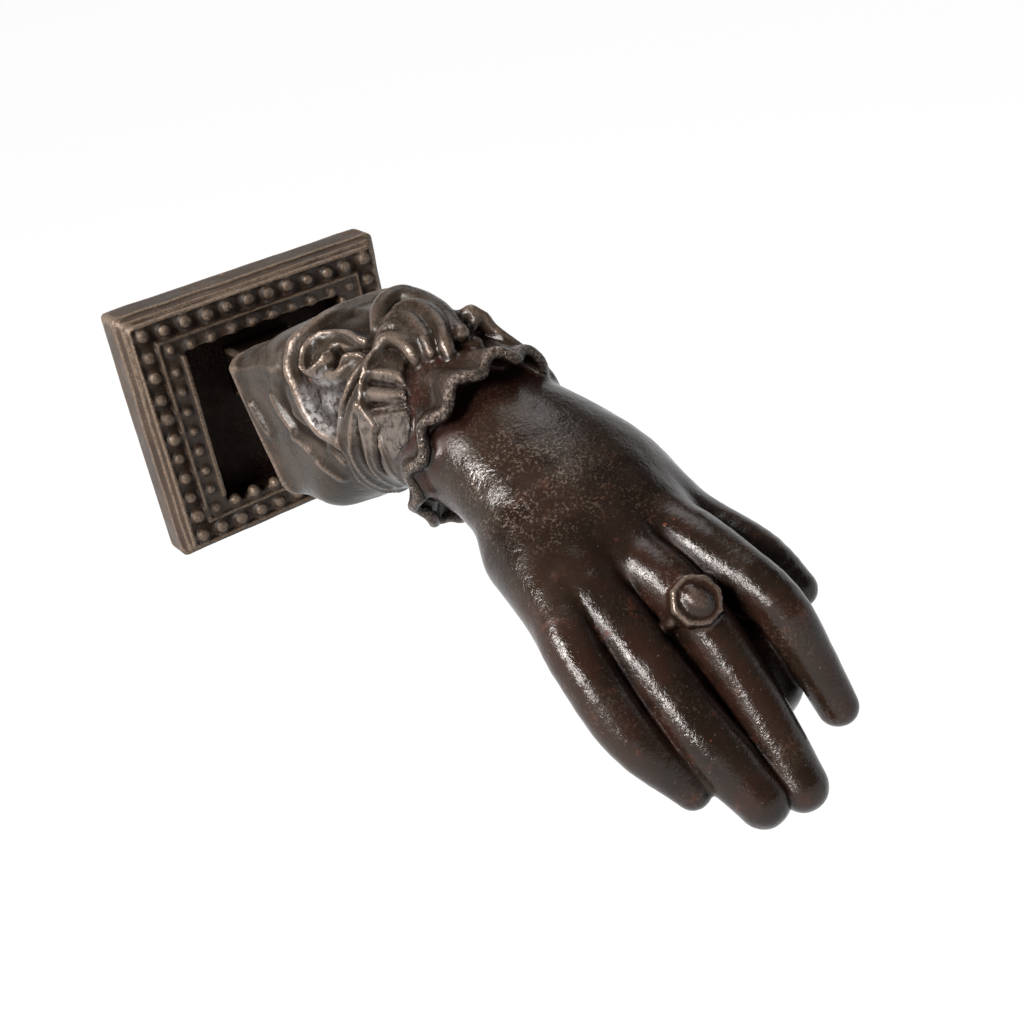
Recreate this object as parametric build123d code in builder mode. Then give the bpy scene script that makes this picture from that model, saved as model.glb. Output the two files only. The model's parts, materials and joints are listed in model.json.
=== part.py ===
"""Hand door knocker: a beaded square back plate, and a lady's right hand in a frilled sleeve
that swings on a cross pin behind the sleeve.

Frame: origin at the centre of the plate's back face, +Y into the door, -Y out of the door,
+Z up, +X to the right of someone who faces the door. Lengths in millimetres.
The hand is drawn swung out, with the finger tips level with the plate's lower edge.
"""
import math
import os

from build123d import *

os.makedirs("parts", exist_ok=True)

# Back plate
plate_wide = 67.8
plate_high = 60.8
plate_deep = 11.2
plate_corner = 2.2
side_flat = 7.6
step_in = 1.0
rim_wide = 1.3
channel_deep = 1.5
bead_big = 3.9
bead_small = 3.0
bead_gap = 5.1
bead_row_in = 4.7
small_row_in = 10.2
recess_in = 13.5
recess_floor = 2.4

# Hinge and fixing
pin_dia = 5.0
pin_fit = 0.06
pin_seat = 0.02
head_dia = 7.0
head_tall = 1.6
hinge_out = 27.0
hinge_up = 8.0
eye_dia = 12.0
tang_wide = 9.0
side_gap = 0.35
ear_wide = 4.0
stud_dia = 8.0
stud_core = 6.6
stud_neck = 2.2
stud_free = 34.0
stud_seat = 11.0
root_deep = 14.0

# Sleeve
block_wide = 41.0
block_high = 33.0
block_out = 42.0
block_up = 8.35
block_tilt = 27.5
sleeve_dia = 38.0
cuff_dia = 31.0
cuff_out = 86.0
cuff_up = 15.8
frill_long = 9.8
frill_drop = 3.1
frill_tilt = 25.6
frill_side = 1.9
frill_top = 5.1
frill_wave = 0.9
frill_count = 12
frill_wall = 1.3
lobe_dia = 5.0
roll_dia = 5.6
scroll_dia = 3.6
fold_dia = 3.4
flute_count = 3

# Hand
wrist_wide = 32.0
wrist_thick = 24.5
palm_wide = 47.0
palm_thick = 20.5
knuckle_out = 144.0
knuckle_up = -7.0
finger_dia = 10.8
tip_out = 172.5
tip_up = -26.2
ball_dia = 20.5
ring_wide = 3.4
stone_wide = 7.6
stone_long = 9.0

hinge_y = -hinge_out
mid_tilt = math.radians(block_tilt)
upright = (Align.CENTER, Align.CENTER, Align.MIN)


def station(out, up, tilt, side=0.0):
    """Plane across the arm; tilt is how far the arm's line rises, in degrees."""
    lean = math.radians(tilt)
    return Plane(origin=(side, -out, up), x_dir=(1, 0, 0), z_dir=(0, -math.cos(lean), math.sin(lean)))


def limb(joints):
    """Smooth bent finger through joints given as side, out, up and radius."""
    points = [Vector(side, -out, up) for side, out, up, radius in joints]
    last = len(points) - 1
    with BuildPart() as piece:
        for place, point in enumerate(points):
            ahead = points[min(place + 1, last)]
            behind = points[max(place - 1, 0)]
            with BuildSketch(Plane(origin=point, x_dir=(1, 0, 0), z_dir=ahead - behind)):
                Circle(joints[place][3])
        loft()
        with Locations(points[-1]):
            Sphere(joints[-1][3] * 0.985)
    return piece.part


def cord(points, radius):
    """Round cord along a smooth line with rounded ends."""
    with BuildPart() as piece:
        with BuildLine() as path:
            Spline(*points)
        with BuildSketch(Plane(origin=path.line @ 0, z_dir=path.line % 0)):
            Circle(radius)
        sweep()
        with Locations(path.line @ 0, path.line @ 1):
            Sphere(radius * 0.985)
    return piece.part


# Back plate: moulded slab with two bead rows round a deep recess
with BuildPart() as back_plate:
    with BuildSketch(Plane.XZ):
        RectangleRounded(plate_wide, plate_high, plate_corner)
    extrude(amount=side_flat)
    step_deep = (plate_deep - side_flat) / 2
    for step in (1, 2):
        with BuildSketch(Plane.XZ.offset(side_flat + (step - 1) * step_deep)):
            shrink = 2 * step * step_in
            RectangleRounded(plate_wide - shrink, plate_high - shrink, plate_corner)
        extrude(amount=step_deep)
    with BuildSketch(Plane.XZ.offset(plate_deep)):
        lip = 2 * (2 * step_in + rim_wide)
        RectangleRounded(plate_wide - lip, plate_high - lip, 0.8)
        bar = 2 * (small_row_in - bead_small / 2 - 0.9)
        RectangleRounded(plate_wide - bar, plate_high - bar, 0.8, mode=Mode.SUBTRACT)
    extrude(amount=-channel_deep, mode=Mode.SUBTRACT)
    with BuildSketch(Plane.XZ.offset(plate_deep)):
        lip = 2 * (small_row_in - bead_small / 2 - 0.2)
        RectangleRounded(plate_wide - lip, plate_high - lip, 0.8)
        bar = 2 * (small_row_in + bead_small / 2 + 0.2)
        RectangleRounded(plate_wide - bar, plate_high - bar, 0.8, mode=Mode.SUBTRACT)
    extrude(amount=-channel_deep * 0.8, mode=Mode.SUBTRACT)
    with BuildSketch(Plane.XZ.offset(recess_floor)):
        Rectangle(plate_wide - 2 * recess_in, plate_high - 2 * (recess_in - 2.6))
    extrude(amount=plate_deep, mode=Mode.SUBTRACT)

    # Beads, spaced evenly along each side
    rows = ((bead_row_in, bead_big, channel_deep), (small_row_in, bead_small, channel_deep * 0.8))
    for inset, dia, deep in rows:
        wide = plate_wide - 2 * inset
        high = plate_high - 2 * inset
        across = max(3, round(wide / bead_gap) + 1)
        upward = max(3, round(high / bead_gap) + 1)
        row = [(wide * (n / (across - 1) - 0.5), high / 2) for n in range(across)]
        spots = row + [(x, -z) for x, z in row]
        column = [(wide / 2, high * (n / (upward - 1) - 0.5)) for n in range(1, upward - 1)]
        spots = spots + column + [(-x, z) for x, z in column]
        bead_out = plate_deep - deep + dia * 0.08
        with Locations(*[Location((x, -bead_out, z), (90, 0, 0)) for x, z in spots]):
            Sphere(dia / 2)

    # Hinge ears on a solid root in the recess
    ear_out = tang_wide / 2 + side_gap + ear_wide
    with BuildSketch(Plane.YZ):
        with Locations((-(hinge_out + recess_floor) / 2, hinge_up)):
            Rectangle(hinge_out - recess_floor, eye_dia)
        with Locations((hinge_y, hinge_up)):
            Circle(eye_dia / 2)
    extrude(amount=ear_out, both=True)
    with BuildSketch(Plane.YZ):
        with Locations((-(root_deep + hinge_out + eye_dia) / 2, hinge_up)):
            Rectangle(hinge_out + eye_dia - root_deep, eye_dia * 1.2)
    extrude(amount=tang_wide / 2 + side_gap, both=True, mode=Mode.SUBTRACT)
    with Locations(Location((0, hinge_y, hinge_up), (0, 90, 0))):
        Cylinder(pin_dia / 2 + pin_seat, 4 * ear_out, mode=Mode.SUBTRACT)
    with Locations(Location((0, 0, hinge_up), (90, 0, 0))):
        Cylinder(stud_core / 2 + pin_seat, stud_seat, align=upright, mode=Mode.SUBTRACT)

back_plate.part.label = "back_plate"

# Hinge pin with a head at each end
with BuildPart() as hinge_pin:
    with Locations(Location((0, hinge_y, hinge_up), (0, 90, 0))):
        Cylinder(pin_dia / 2, 2 * ear_out + 0.2)
    for end in (-1, 1):
        with Locations(Location((end * (ear_out + 0.05 + head_tall / 2), hinge_y, hinge_up), (0, 90, 0))):
            Cylinder(head_dia / 2, head_tall)
    chamfer(hinge_pin.edges().filter_by(GeomType.CIRCLE).sort_by(Axis.X)[0], 0.5)
    chamfer(hinge_pin.edges().filter_by(GeomType.CIRCLE).sort_by(Axis.X)[-1], 0.5)

hinge_pin.part.label = "hinge_pin"

# Threaded stud that holds the plate to the door: a plain end at the thread's core size in the plate,
# a short neck behind it, then the full thread
with BuildPart() as fixing_stud:
    with Locations(Location((0, stud_free, hinge_up), (90, 0, 0))):
        Cylinder(stud_core / 2, stud_free + stud_seat, align=upright)
        Cylinder(stud_dia / 2, stud_free - stud_neck, align=upright)
    chamfer(fixing_stud.edges().filter_by(GeomType.CIRCLE).sort_by(Axis.Y)[-1], 0.9)

fixing_stud.part.label = "fixing_stud"

# Sleeve: square flared foot, round puffed cloth and a narrower cuff
sleeve_shapes = (
    (block_out + 3, block_up + 1.8, 25, sleeve_dia * 0.45, sleeve_dia * 0.43),
    (block_out + 12, block_up + 1.6, 18, sleeve_dia * 0.50, sleeve_dia * 0.56),
    (block_out + 21, block_up + 4.0, 11, sleeve_dia * 0.505, sleeve_dia * 0.56),
    (block_out + 30, block_up + 6.5, 5, sleeve_dia * 0.48, sleeve_dia * 0.50),
    (cuff_out - 6, cuff_up, 0, cuff_dia * 0.53, cuff_dia * 0.535),
    (cuff_out, cuff_up, -3, cuff_dia * 0.50, cuff_dia * 0.50),
)


def on_sleeve(out, turn, lift=0.0):
    """Point on the sleeve: out along the arm, turn in degrees from +X up over the top."""
    low = sleeve_shapes[0]
    high = sleeve_shapes[1]
    for before, after in zip(sleeve_shapes, sleeve_shapes[1:]):
        if before[0] <= out:
            low = before
            high = after
    part = (out - low[0]) / (high[0] - low[0])
    up, tilt, side, top = [one + part * (two - one) for one, two in zip(low[1:], high[1:])]
    lean = math.radians(tilt)
    angle = math.radians(turn)
    rise = (top + lift) * math.sin(angle)
    return ((side + lift) * math.cos(angle), rise * math.sin(lean) - out, up + rise * math.cos(lean))


with BuildPart() as foot:
    with BuildSketch(station(block_out, block_up, block_tilt)):
        RectangleRounded(block_wide, block_high, 1.2)
    with BuildSketch(station(block_out + 9, block_up + 4.2, block_tilt - 2)):
        RectangleRounded(block_wide * 0.72, block_high * 0.80, 1.2)
    loft(ruled=True)

with BuildPart() as sleeve:
    for out, up, tilt, side, top in sleeve_shapes:
        with BuildSketch(station(out, up, tilt)):
            Ellipse(side, top)
    loft()

# Tang and eye that carry the arm on the pin
with BuildPart() as tang:
    sine = math.sin(mid_tilt)
    cosine = math.cos(mid_tilt)
    grip = eye_dia / 2
    with BuildSketch(Plane.YZ):
        with Locations((hinge_y, hinge_up)):
            Circle(grip)
        Polygon(
            (hinge_y + grip * sine, hinge_up + grip * cosine),
            (hinge_y - grip * sine, hinge_up - grip * cosine),
            (-block_out - 3 - grip * 1.2 * sine, block_up + 1 - grip * 1.2 * cosine),
            (-block_out - 3 + grip * 1.2 * sine, block_up + 1 + grip * 1.2 * cosine),
            align=None,
        )
    extrude(amount=tang_wide / 2, both=True)

# Frill: a fluted flare, open towards the hand, with its top leaning forward
with BuildPart() as frill:
    for hollow in (0, 1):
        for place in (0, 0.5, 1):
            wave = frill_wave * place
            neck = cuff_dia / 2 - 0.6 - hollow * frill_wall
            ring = []
            for n in range(2 * frill_count):
                turn = math.pi * n / frill_count
                across = neck + (0.6 + frill_side) * place + wave * (-1) ** n
                upward = neck + (0.6 + frill_top) * place + wave * (-1) ** n
                ring.append((across * math.cos(turn), upward * math.sin(turn)))
            along = cuff_out - 2.2 + (frill_long + 2.2) * place + hollow * frill_wall
            tilt = -3 - (frill_tilt - 3) * place
            with BuildSketch(station(along, cuff_up - frill_drop * place, tilt, place)):
                with BuildLine():
                    Spline(*ring, periodic=True)
                make_face()
        loft(mode=Mode.ADD if hollow == 0 else Mode.SUBTRACT)

# Palm from inside the cuff to the knuckles
with BuildPart() as palm:
    reach = knuckle_out - cuff_out
    drop = cuff_up - knuckle_up
    palm_shapes = (
        (-0.06, 0.00, -4, 1.2, wrist_wide * 0.86, wrist_thick * 1.00),
        (0.08, 0.03, -6, 2.2, wrist_wide * 0.96, wrist_thick * 1.03),
        (0.24, 0.13, -12, 2.5, wrist_wide * 1.03, wrist_thick),
        (0.40, 0.26, -18, 2.2, wrist_wide * 1.15, wrist_thick * 0.96),
        (0.55, 0.42, -24, 1.6, palm_wide * 0.90, palm_thick * 1.11),
        (0.71, 0.60, -27, 1.0, palm_wide * 0.99, palm_thick * 1.07),
        (0.86, 0.80, -30, 0.5, palm_wide, palm_thick * 0.97),
        (1.00, 1.00, -33, 0.0, palm_wide * 0.95, palm_thick * 0.83),
    )
    for far, fall, tilt, side, wide, thick in palm_shapes:
        with BuildSketch(station(cuff_out + reach * far, cuff_up - drop * fall, tilt, side)):
            Ellipse(wide / 2, thick / 2)
    loft()

# Fingers and thumb: joints measured from the knuckle line and the tip
size = finger_dia / 2
wide = palm_wide / 47.0
ko = knuckle_out
ku = knuckle_up
ahead = tip_out - knuckle_out
below = knuckle_up - tip_up
little = limb([
    (-18.4 * wide, ko - 9, ku + 8.5, size * 1.00),
    (-18.0 * wide, ko - 1.5, ku + 3.0, size * 0.98),
    (-17.0 * wide, ko + 0.34 * ahead, ku - 0.42 * below, size * 0.90),
    (-12.5 * wide, ko + 0.64 * ahead, ku - 0.85 * below, size * 0.60),
])
third = limb([
    (-9.5 * wide, ko - 9, ku + 8.0, size * 1.00),
    (-9.5 * wide, ko + 0.9, ku + 0.5, size * 1.02),
    (-8.5 * wide, ko + 0.58 * ahead, ku - 0.56 * below, size * 0.95),
    (-5.5 * wide, ko + 0.93 * ahead, ku - below, size * 0.78),
])
middle = limb([
    (1.5 * wide, ko - 8, ku + 9.0, size * 1.00),
    (2.0 * wide, ko + 0.19 * ahead, ku + 3.9, size * 1.02),
    (2.5 * wide, ko + 0.62 * ahead, ku - 0.41 * below, size * 0.96),
    (1.5 * wide, ko + ahead, ku - below, size * 0.79),
])
index = limb([
    (11.5 * wide, ko - 10, ku + 9.0, size * 1.05),
    (12.4 * wide, ko + 0.6, ku + 6.2, size * 1.06),
    (14.0 * wide, ko + 0.50 * ahead, ku + 2.6, size * 0.90),
    (15.0 * wide, ko + 0.66 * ahead, ku - 0.30 * below, size * 0.82),
    (15.5 * wide, ko + 0.83 * ahead, ku - 0.69 * below, size * 0.66),
])
thumb = limb([
    (17.0 * wide, ko - 22, ku + 7.5, size * 1.35),
    (21.5 * wide, ko - 6, ku + 6.0, size * 1.10),
    (24.0 * wide, ko + 0.4, ku + 3.5, size * 0.98),
    (25.5 * wide, ko + 5.6, ku - 1.5, size * 0.76),
])
ball_point = (9.5 * wide, -(ko + 8.5), ku - 11.5)
ring_point = (2.0 * wide, -(ko + 0.17 * ahead), ku + 4.2)

with BuildPart() as ball:
    with Locations(ball_point):
        Sphere(ball_dia / 2)

# Ring on the middle finger: band, eight-sided setting and oval stone
with BuildPart() as finger_ring:
    with Locations(Location(ring_point, (90 + 38, 0, 0))):
        Cylinder(size * 1.02 + 0.9, ring_wide)
    setting = Location(ring_point, (38, 0, 0)) * Location((0, 0, size * 1.02))
    with Locations(setting):
        Cylinder(stone_long / 2, 2.6)
        with Locations((0, 0, 1.3)):
            Sphere(stone_wide / 2)

# Scroll, rims, folds, flutes and the gathered rolls on the sleeve, as out, turn and lift
s0 = block_out
c0 = cuff_out
lines = (
    (scroll_dia * 0.40, ((s0 + 14, 112, 0.2), (s0 + 17, 138, 0.2), (s0 + 22, 160, 0.2), (s0 + 31, 183, 0.2))),
    (
        scroll_dia * 0.50,
        ((s0 + 34, 118, 0.5), (s0 + 25, 120, 0.7), (s0 + 20.5, 134, 0.6), (s0 + 25, 147, 0.4)),
    ),
    (scroll_dia * 0.42, ((s0 + 24, 146.5, 0.4), (s0 + 31, 148, 0.3), (s0 + 35, 134, 0.3))),
    (
        fold_dia * 0.50,
        ((c0 - 9, 124, 0.3), (c0 - 8.5, 146, 0.3), (c0 - 11, 170, 0.2),
         (c0 - 15, 196, 0.2), (c0 - 22, 224, 0)),
    ),
    (
        fold_dia * 0.62,
        ((c0 - 6, 122, 0.4), (c0 - 4.6, 142, 0.4), (c0 - 5, 169, 0.3), (c0 - 8, 195, 0.2), (c0 - 16, 230, 0)),
    ),
    (fold_dia * 0.45, ((c0 - 33, 186, 0.1), (c0 - 27, 200, 0.2), (c0 - 19, 214, 0))),
    (fold_dia * 0.45, ((c0 - 34, 202, 0.1), (c0 - 29, 216, 0.2), (c0 - 22, 232, 0))),
)
cords = []
for radius, spots in lines:
    cords.append(cord([on_sleeve(*spot) for spot in spots], radius))
flutes = []
for n in range(flute_count):
    turn = 130 + 9 * n
    flutes.append(cord([on_sleeve(c0 - 5, turn + 3, -0.3), on_sleeve(c0 - 0.6, turn, -0.2)], fold_dia * 0.3))
rolls = []
for n in range(4):
    turn = 118 - 12 * n
    bump = roll_dia * (0.22 + 0.12 * n)
    rolls.append(cord([
        on_sleeve(c0 - 10 - n, turn + 2, 0),
        on_sleeve(c0 - 5 - n, turn - 6, bump),
        on_sleeve(c0 + 1 + n, turn - 5, bump),
        on_sleeve(c0 + 6 + n, turn + 3, 0.2),
    ], roll_dia * (0.42 + 0.02 * n)))
crest = cuff_up + cuff_dia / 2
rolls.append(cord([
    (6, -(c0 - 1), crest + 0.5),
    (6.5, -(c0 + 6), crest + 2.5),
    (6.5, -(c0 + 12), crest + 1.8),
    (6, -(c0 + 17), crest - 0.5),
], lobe_dia / 2))

# The swinging casting: everything above in one piece
with BuildPart() as arm:
    add(sleeve.part)
    add(foot.part)
    add(tang.part)
    add(frill.part)
    add(palm.part)
    for piece in (little, third, middle, index, thumb):
        add(piece)
    add(ball.part)
    add(finger_ring.part)
    for piece in (*cords, *flutes, *rolls):
        add(piece)
    with Locations(Location((0, hinge_y, hinge_up), (0, 90, 0))):
        Cylinder(pin_dia / 2 + pin_fit, tang_wide * 2, mode=Mode.SUBTRACT)

arm.part.label = "hand_arm"

export_step(back_plate.part, "parts/back_plate.step")
export_step(hinge_pin.part, "parts/hinge_pin.step")
export_step(fixing_stud.part, "parts/fixing_stud.step")
export_step(arm.part, "parts/hand_arm.step")
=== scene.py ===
import json
import math

import bpy
import numpy as np
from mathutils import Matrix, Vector


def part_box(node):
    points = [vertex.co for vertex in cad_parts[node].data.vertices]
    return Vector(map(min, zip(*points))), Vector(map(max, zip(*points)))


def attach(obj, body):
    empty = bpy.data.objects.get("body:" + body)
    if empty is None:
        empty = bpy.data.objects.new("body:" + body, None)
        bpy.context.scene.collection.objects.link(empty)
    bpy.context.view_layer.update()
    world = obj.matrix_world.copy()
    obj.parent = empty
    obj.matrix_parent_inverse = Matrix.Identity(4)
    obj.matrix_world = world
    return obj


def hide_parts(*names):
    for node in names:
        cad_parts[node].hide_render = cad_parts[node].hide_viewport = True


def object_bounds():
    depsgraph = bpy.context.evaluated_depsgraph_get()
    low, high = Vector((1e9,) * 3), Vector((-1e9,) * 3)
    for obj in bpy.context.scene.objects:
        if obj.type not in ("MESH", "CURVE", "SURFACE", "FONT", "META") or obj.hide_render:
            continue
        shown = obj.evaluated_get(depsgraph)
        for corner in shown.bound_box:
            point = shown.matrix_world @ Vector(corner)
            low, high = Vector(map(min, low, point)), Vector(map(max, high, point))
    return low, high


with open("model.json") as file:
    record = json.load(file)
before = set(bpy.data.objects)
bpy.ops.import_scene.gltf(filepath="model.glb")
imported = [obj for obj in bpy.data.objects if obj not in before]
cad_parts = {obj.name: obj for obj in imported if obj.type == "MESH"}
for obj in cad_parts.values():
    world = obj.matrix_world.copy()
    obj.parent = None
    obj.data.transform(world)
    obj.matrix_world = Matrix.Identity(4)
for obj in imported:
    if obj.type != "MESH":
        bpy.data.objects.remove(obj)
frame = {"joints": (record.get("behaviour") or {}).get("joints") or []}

cad_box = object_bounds()
MM = 0.001
FAR = 9.0  # distance in empty clay
SPARE = 2.5  # room round a form
CELL = 0.5
MOST_TRIANGLES = 190000
rng = np.random.default_rng(7)


# Fields of signed distance
def rounded(a, b, blend):
    """Union of two distances, rounded over the blend width."""
    h = np.clip(0.5 + 0.5 * (b - a) / blend, 0, 1)
    return b + (a - b) * h - blend * h * (1 - h)


def smooth_min(a, b, blend):
    return rounded(a, b, blend) if blend > 0 else np.minimum(a, b)


def smooth_max(a, b, blend):
    return -smooth_min(-a, -b, blend)


def smooth_line(points, steps):
    """Rows of numbers along a smooth curve through the given rows."""
    rows = np.array(points, float)
    rows = np.vstack([2 * rows[0] - rows[1], rows, 2 * rows[-1] - rows[-2]])
    out = []
    for a, b, c, d in zip(rows, rows[1:], rows[2:], rows[3:]):
        for t in np.arange(steps) / steps:
            bent = 2 * b + (c - a) * t + (2 * a - 5 * b + 4 * c - d) * t**2
            out.append(0.5 * (bent + (3 * b - a - 3 * c + d) * t**3))
    out.append(rows[-2])
    return np.array(out)


class Clay:
    """A block of signed distances on a regular grid; negative is inside."""

    def __init__(self, low, high, cell):
        self.cell = cell
        self.lines = [np.arange(a, b + cell, cell, dtype=np.float32) for a, b in zip(low, high)]
        self.field = np.full([len(line) for line in self.lines], FAR, np.float32)

    def origin(self):
        return np.array([line[0] for line in self.lines])

    def blank(self):
        """Empty block on the same grid."""
        other = Clay.__new__(Clay)
        other.cell = self.cell
        other.lines = self.lines
        other.field = np.full_like(self.field, FAR)
        return other

    def window(self, low, high):
        """Slices and coordinates of the part of the grid inside a box."""
        cuts = []
        coords = []
        for axis, line in enumerate(self.lines):
            first = max(0, int((low[axis] - line[0]) / self.cell))
            last = min(len(line), int((high[axis] - line[0]) / self.cell) + 2)
            shape = [1, 1, 1]
            shape[axis] = -1
            cuts.append(slice(first, last))
            coords.append(line[first:last].reshape(shape))
        return tuple(cuts), coords

    def add(self, low, high, shape, blend=0.0):
        cut, (x, y, z) = self.window(low, high)
        self.field[cut] = smooth_min(self.field[cut], shape(x, y, z), blend)

    def carve(self, low, high, shape, blend=0.0):
        cut, (x, y, z) = self.window(low, high)
        self.field[cut] = -smooth_min(-self.field[cut], shape(x, y, z), blend)

    def strand(self, rows, blend=0.0, steps=5):
        """Smooth cord; rows are x, y, z and radius."""
        rows = smooth_line(rows, steps)
        room = rows[:, 3].max() + blend + SPARE
        self.add(rows[:, :3].min(0) - room, rows[:, :3].max(0) + room, cord_shape(rows), blend)

    def egg(self, centre, radii, blend=0.0, turn=(0, 0, 0)):
        room = max(radii) + blend + SPARE
        centre = np.array(centre, float)
        self.add(centre - room, centre + room, egg_shape(centre, radii, turn), blend)


def cord_shape(rows):
    """Cones with round ends from row to row."""
    def shape(x, y, z):
        best = None
        for a, b in zip(rows, rows[1:]):
            dx, dy, dz, dr = (b - a).astype(np.float32)
            ax, ay, az, ar = a.astype(np.float32)
            length = max(dx * dx + dy * dy + dz * dz, 1e-6)
            t = np.clip(((x - ax) * dx + (y - ay) * dy + (z - az) * dz) / length, 0, 1)
            reach = np.sqrt((x - ax - t * dx) ** 2 + (y - ay - t * dy) ** 2 + (z - az - t * dz) ** 2)
            gap = reach - (ar + t * dr)
            best = gap if best is None else np.minimum(best, gap)
        return best
    return shape


def rotation(turn):
    """3 by 3 matrix for turns about X, then Y, then Z, in degrees."""
    (ca, sa), (cb, sb), (cc, sc) = [(math.cos(t), math.sin(t)) for t in np.radians(turn)]
    about_x = np.array([[1, 0, 0], [0, ca, -sa], [0, sa, ca]])
    about_y = np.array([[cb, 0, sb], [0, 1, 0], [-sb, 0, cb]])
    about_z = np.array([[cc, -sc, 0], [sc, cc, 0], [0, 0, 1]])
    return about_z @ about_y @ about_x


def local(x, y, z, centre, turn):
    """Coordinates in a turned frame round a centre."""
    m = rotation(turn).astype(np.float32)
    px, py, pz = [c - np.float32(middle) for c, middle in zip((x, y, z), centre)]
    return [m[0, i] * px + m[1, i] * py + m[2, i] * pz for i in range(3)]


def egg_shape(centre, radii, turn):
    def shape(x, y, z):
        u, v, w = local(x, y, z, centre, turn)
        near = np.sqrt((u / radii[0]) ** 2 + (v / radii[1]) ** 2 + (w / radii[2]) ** 2)
        slope = np.sqrt((u / radii[0] ** 2) ** 2 + (v / radii[1] ** 2) ** 2 + (w / radii[2] ** 2) ** 2)
        return near * (near - 1) / (slope + 1e-4)
    return shape


def block_shape(centre, half, edge):
    """Block with rounded edges."""
    def shape(x, y, z):
        gaps = [np.abs(c - np.float32(m)) - (h - edge) for c, m, h in zip((x, y, z), centre, half)]
        outside = np.sqrt(sum(np.maximum(g, 0) ** 2 for g in gaps))
        inside = np.minimum(np.maximum(np.maximum(gaps[0], gaps[1]), gaps[2]), 0)
        return outside + inside - edge
    return shape


def rod_shape(centre, radius, half, axis):
    """Cylinder along X, Y or Z."""
    def shape(x, y, z):
        parts = [x - centre[0], y - centre[1], z - centre[2]]
        along = parts.pop(axis)
        return np.maximum(np.sqrt(parts[0] ** 2 + parts[1] ** 2) - radius, np.abs(along) - half)
    return shape


class Tube:
    """Form along the arm; stations are out, up, tilt, side, half-width, top, bottom and squareness."""

    ROUNDS = 6  # of finding a point's station
    CORE = 0.45  # share inside which a rough distance will do
    FARTHEST = 2.5  # share outside which the distance stops growing

    def __init__(self, stations):
        self.table = smooth_line(stations, 10)

    def read(self, out, column):
        return np.interp(out, self.table[:, 0], self.table[:, column]).astype(np.float32)

    def place(self, y, z):
        """Station and height above the middle line of each point of the Y-Z plane."""
        out = -y + 0 * z
        high = 0 * out
        for _ in range(self.ROUNDS):
            lean = np.radians(self.read(out, 2))
            high = (z - self.read(out, 1)) / np.cos(lean)
            out = -y + high * np.sin(lean)
        return out, high

    def point(self, out, turn, lift=0.0):
        """Point on the form at a station and a turn in degrees from +X up over the top."""
        up, tilt, side, wide, top, bottom, square = [float(self.read(out, i)) for i in range(1, 8)]
        lean = math.radians(tilt)
        c, s = math.cos(math.radians(turn)), math.sin(math.radians(turn))
        reach = (abs(c) ** square + abs(s) ** square) ** (-1 / square)
        rise = ((top if s > 0 else bottom) * reach + lift) * s
        return (side + (wide * reach + lift) * c, rise * math.sin(lean) - out, up + rise * math.cos(lean))

    def shape(self, relief=None):
        def shape(x, y, z):
            out, high = self.place(y, z)
            across = x - self.read(out, 3)
            wide = self.read(out, 4)
            tall = np.where(high > 0, self.read(out, 5), self.read(out, 6))
            square = self.read(out, 7)
            u = np.minimum(np.abs(across / wide), self.FARTHEST)
            v = np.minimum(np.abs(high / tall), self.FARTHEST)
            near = (u**square + v**square) ** (1 / square)
            slope = np.sqrt((u ** (square - 1) / wide) ** 2 + (v ** (square - 1) / tall) ** 2) + 1e-6
            gap = (near - 1) * near ** (square - 1) / slope
            gap = np.where(near < self.CORE, (near - 1) * np.minimum(wide, tall), gap)
            if relief is not None:
                turn = np.degrees(np.arctan2(high / tall, across / wide))
                gap = gap - relief.read(out + 0 * x, turn)
            ends = np.maximum(out - self.table[-1, 0], self.table[0, 0] - out)
            return np.maximum(gap, ends)
        return shape


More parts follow.
